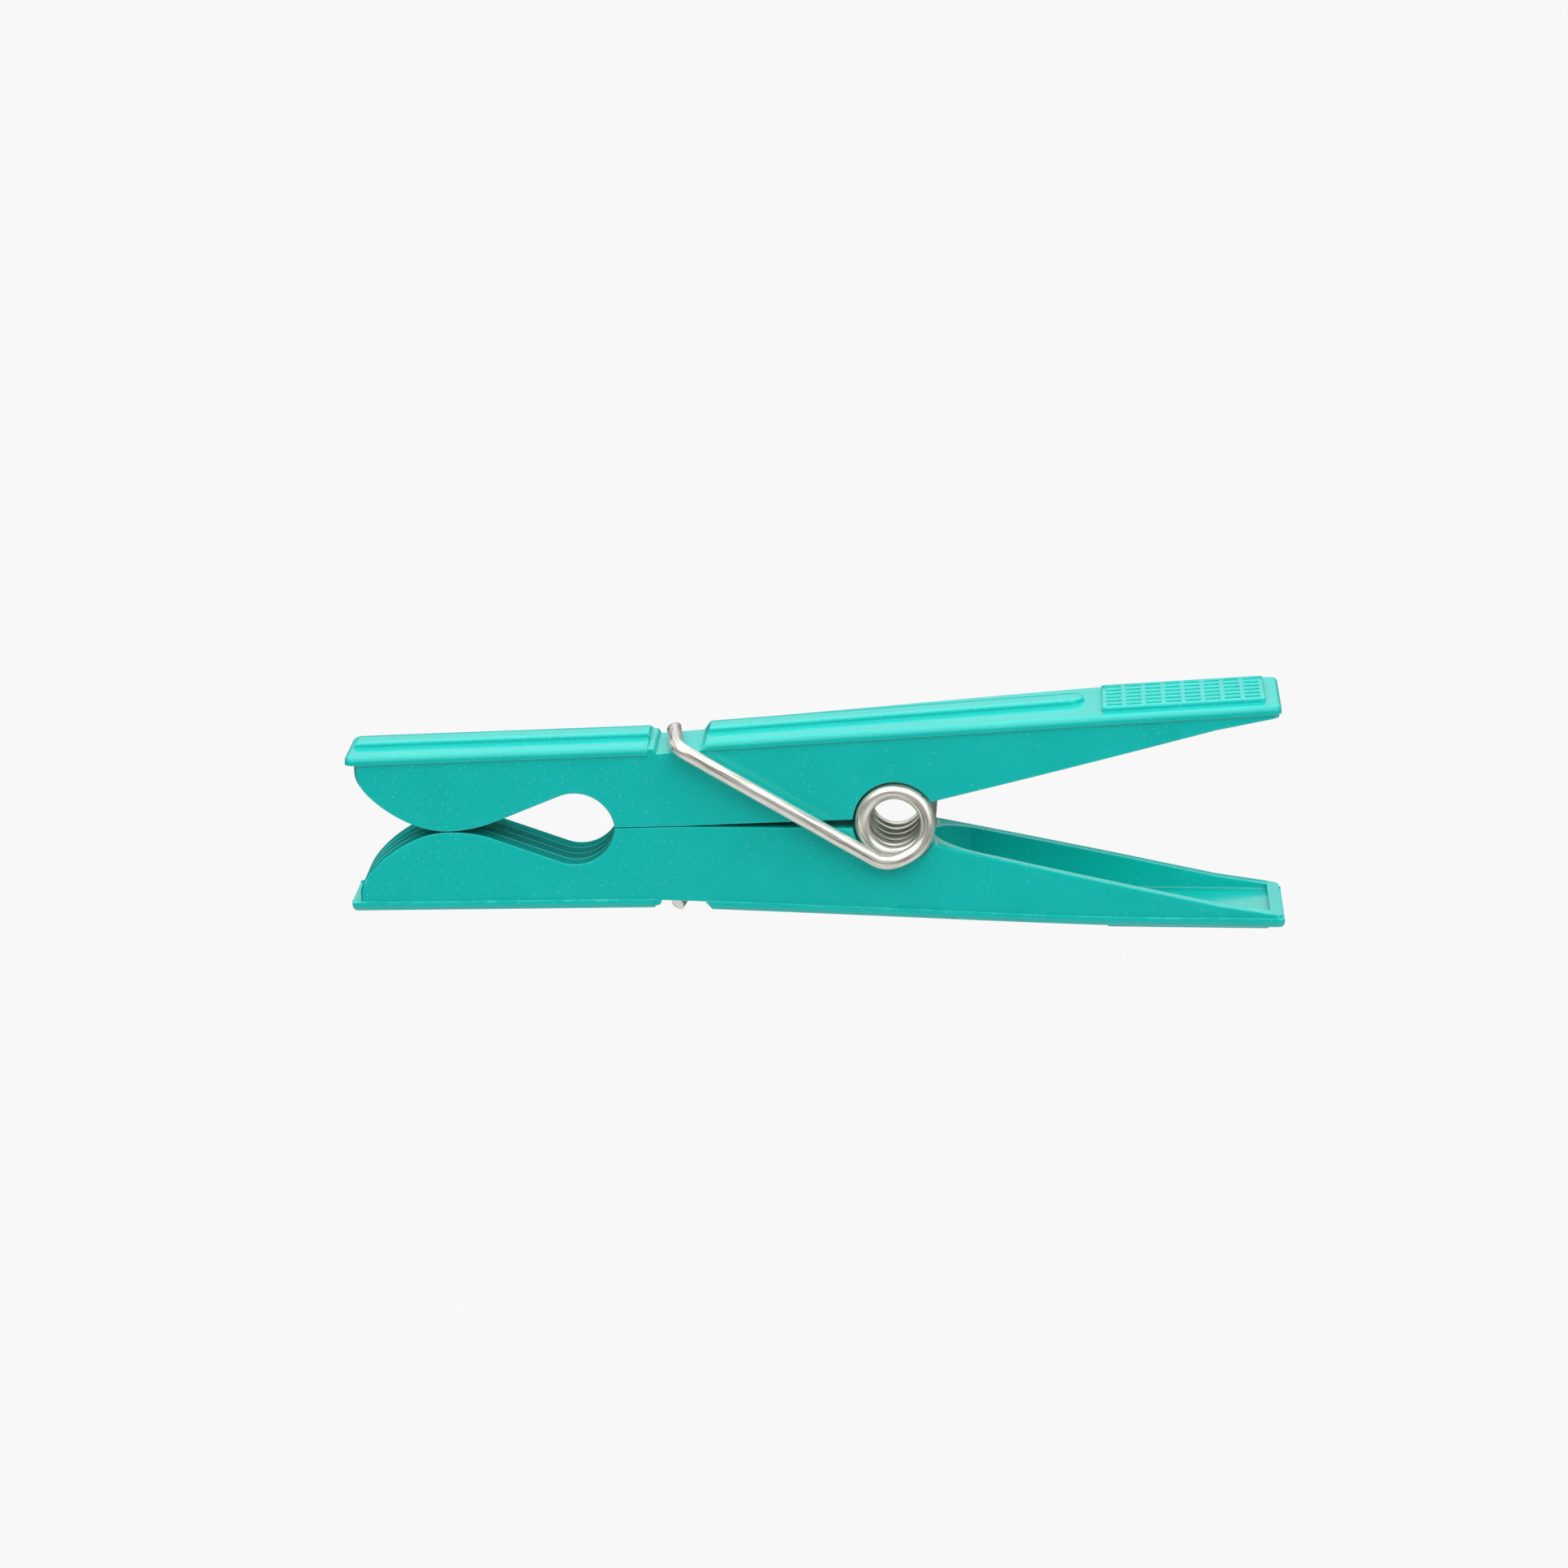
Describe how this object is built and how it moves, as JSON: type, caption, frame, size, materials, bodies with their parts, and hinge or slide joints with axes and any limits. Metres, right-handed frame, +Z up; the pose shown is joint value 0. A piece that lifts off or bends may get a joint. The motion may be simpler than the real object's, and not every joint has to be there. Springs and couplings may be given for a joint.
{
  "type": "clothespin",
  "caption": "Moulded plastic clothespin: two identical channel-section levers with a teardrop line hole, held shut by a wire torsion spring hooked over both outer faces.",
  "frame": {"origin": "centre of the object's bounding box in X and Y, on the surface that the peg stands on", "axes": "+X from the jaw towards the handles, +Y across the peg along the coil's axis, +Z up from the lower lever to the upper lever"},
  "size_m": [0.0754, 0.012, 0.019],
  "materials": {
    "lever_plastic": "glossy teal moulded plastic with fine pale speckles",
    "spring_wire": "bright plated spring wire with fine drawing marks"
  },
  "bodies": {
    "lower": {"lower_lever": "lever_plastic", "torsion_spring": "spring_wire"},
    "upper": {"upper_lever": "lever_plastic"}
  },
  "joints": [
    {"name": "jaw_opening", "type": "hinge", "parent": "lower", "child": "upper", "pos_m": [0.0065, 0, 0.00841], "axis": [0, 1, 0], "range_deg": [0, 28], "stiffness_Nm_per_rad": 0.06, "springref_deg": -34.38, "deforming": ["torsion_spring"]}
  ]
}
